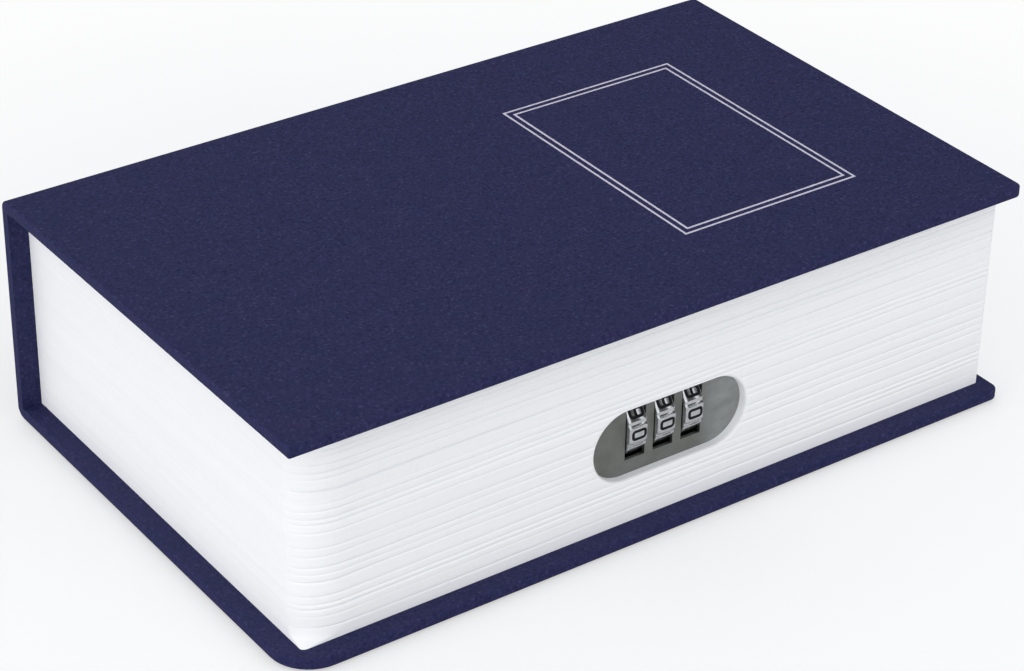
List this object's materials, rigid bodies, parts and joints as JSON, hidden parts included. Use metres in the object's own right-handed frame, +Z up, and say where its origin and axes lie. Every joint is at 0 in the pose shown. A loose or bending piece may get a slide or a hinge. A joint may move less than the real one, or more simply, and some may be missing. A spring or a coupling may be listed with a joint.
{
  "type": "book safe",
  "caption": "Book-shaped cash box: a steel box and hinged steel lid inside a hardback case, locked by number wheels set in the fore-edge.",
  "frame": {"origin": "on the table, under the middle of the closed book lying on its back cover", "axes": "+X from the tail of the book to its head, +Y to the spine, -Y to the fore-edge with the lock, +Z up from the back cover to the front cover"},
  "size_m": [0.18, 0.1124, 0.0525],
  "materials": {
    "navy_skin": "matte covering paper with a fine grain, dark navy",
    "navy_cloth": "matte book cloth, dark navy",
    "greyboard": "plain grey-brown board",
    "adhesive": "sheet adhesive, pale",
    "white_plastic": "moulded, satin white with page lines",
    "black_steel": "powder coated, black",
    "plate_metal": "mid-grey metal, slightly stained",
    "chrome": "bright chrome plate",
    "plain_steel": "plain zinc-plated steel",
    "brass": "plain brass",
    "black_plastic": "moulded, satin black"
  },
  "bodies": {
    "box": {"back_cover_board": "greyboard", "back_cover_skin": "navy_skin", "floor_adhesive": "adhesive", "spine_board": "greyboard", "spine_skin": "navy_skin", "spine_adhesive": "adhesive", "hinge_cloth": "navy_cloth", "page_block": "white_plastic", "box_tray": "black_steel", "hinge_pin": "plain_steel", "lock_plate": "plate_metal", "lock_body": "black_plastic", "lock_back_cover": "black_plastic", "lock_screw_tail": "plain_steel", "lock_screw_head": "plain_steel", "click_spring": "brass", "spindle_spring": "plain_steel", "latch_spring_tail": "plain_steel", "latch_spring_head": "plain_steel"},
    "lid": {"lid_panel": "black_steel", "lid_adhesive": "adhesive", "front_cover_board": "greyboard", "front_cover_skin": "navy_skin", "striker": "plain_steel", "striker_rivet_tail": "plain_steel", "striker_rivet_head": "plain_steel"},
    "wheel_tail": {"number_wheel_tail": "chrome"},
    "wheel_middle": {"number_wheel_middle": "chrome"},
    "wheel_head": {"number_wheel_head": "chrome"},
    "reset": {"spindle": "plain_steel", "spindle_clip": "plain_steel", "reset_lever": "plain_steel"},
    "clutch_tail": {"sleeve_tail": "brass"},
    "clutch_middle": {"sleeve_middle": "brass"},
    "clutch_head": {"sleeve_head": "brass"},
    "latch": {"latch_plate": "plain_steel"}
  },
  "joints": [
    {"name": "lid_hinge", "type": "hinge", "parent": "box", "child": "lid", "pos_m": [0.001, 0.05205, 0.048], "axis": [-1, 0, 0], "range_deg": [0, 105], "deforming": ["hinge_cloth"]},
    {"name": "dial_tail", "type": "hinge", "parent": "box", "child": "wheel_tail", "pos_m": [-0.0056, -0.04355, 0.0223], "axis": [1, 0, 0], "continuous": true},
    {"name": "dial_middle", "type": "hinge", "parent": "box", "child": "wheel_middle", "pos_m": [0.0015, -0.04355, 0.0223], "axis": [1, 0, 0], "continuous": true},
    {"name": "dial_head", "type": "hinge", "parent": "box", "child": "wheel_head", "pos_m": [0.0086, -0.04355, 0.0223], "axis": [1, 0, 0], "continuous": true},
    {"name": "reset_slide", "type": "slide", "parent": "box", "child": "reset", "axis": [1, 0, 0], "range_m": [0, 0.0009], "stiffness_N_per_m": 400, "springref_m": -0.002, "deforming": ["spindle_spring"]},
    {"name": "clutch_tail_spin", "type": "hinge", "parent": "reset", "child": "clutch_tail", "pos_m": [-0.0056, -0.04355, 0.0223], "axis": [1, 0, 0], "continuous": true},
    {"name": "clutch_middle_spin", "type": "hinge", "parent": "reset", "child": "clutch_middle", "pos_m": [0.0015, -0.04355, 0.0223], "axis": [1, 0, 0], "continuous": true},
    {"name": "clutch_head_spin", "type": "hinge", "parent": "reset", "child": "clutch_head", "pos_m": [0.0086, -0.04355, 0.0223], "axis": [1, 0, 0], "continuous": true},
    {"name": "latch_slide", "type": "slide", "parent": "box", "child": "latch", "axis": [0, -1, 0], "range_m": [0, 0.0024], "stiffness_N_per_m": 300, "springref_m": -0.004, "deforming": ["latch_spring_tail", "latch_spring_head"]}
  ],
  "couplings": [
    {"joint": "clutch_tail_spin", "follows": "dial_tail", "ratio": 1},
    {"joint": "clutch_middle_spin", "follows": "dial_middle", "ratio": 1},
    {"joint": "clutch_head_spin", "follows": "dial_head", "ratio": 1}
  ]
}
